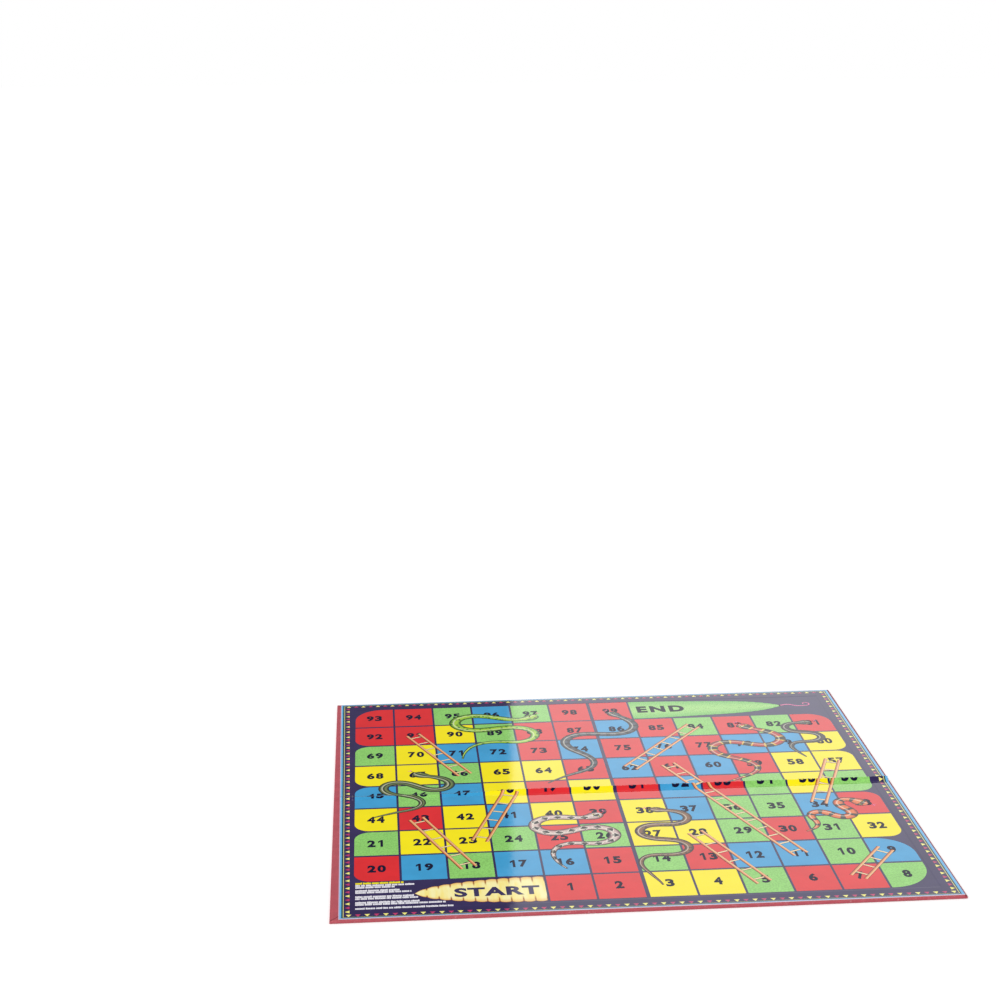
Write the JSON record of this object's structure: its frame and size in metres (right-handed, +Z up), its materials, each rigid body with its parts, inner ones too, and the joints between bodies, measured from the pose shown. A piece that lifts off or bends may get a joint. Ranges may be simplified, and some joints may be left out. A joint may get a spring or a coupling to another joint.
{
  "type": "folding game board",
  "caption": "Folding board for snakes and ladders, a printed face over a red wrap sheet, with a paper hinge and a raised crease.",
  "frame": {"origin": "middle of the open board's underside", "axes": "+X along the crease to the right, +Y from the front edge to the back edge, +Z up out of the printed face"},
  "size_m": [0.474, 0.424, 0.0057],
  "materials": {
    "greyboard": "raw grey chipboard",
    "wrap": "dusty red wrap paper, satin",
    "face": "printed sheet under gloss film"
  },
  "bodies": {
    "front_panel": {"greyboard_front": "greyboard", "wrap_front": "wrap", "face_front": "face", "wrap_spine": "wrap", "face_crease": "face"},
    "back_panel": {"greyboard_back": "greyboard", "wrap_back": "wrap", "face_back": "face"}
  },
  "joints": [
    {"name": "fold", "type": "hinge", "parent": "front_panel", "child": "back_panel", "pos_m": [0, 0, 0.0028], "axis": [1, 0, 0], "range_deg": [0, 180], "deforming": ["wrap_spine", "face_crease"]}
  ]
}
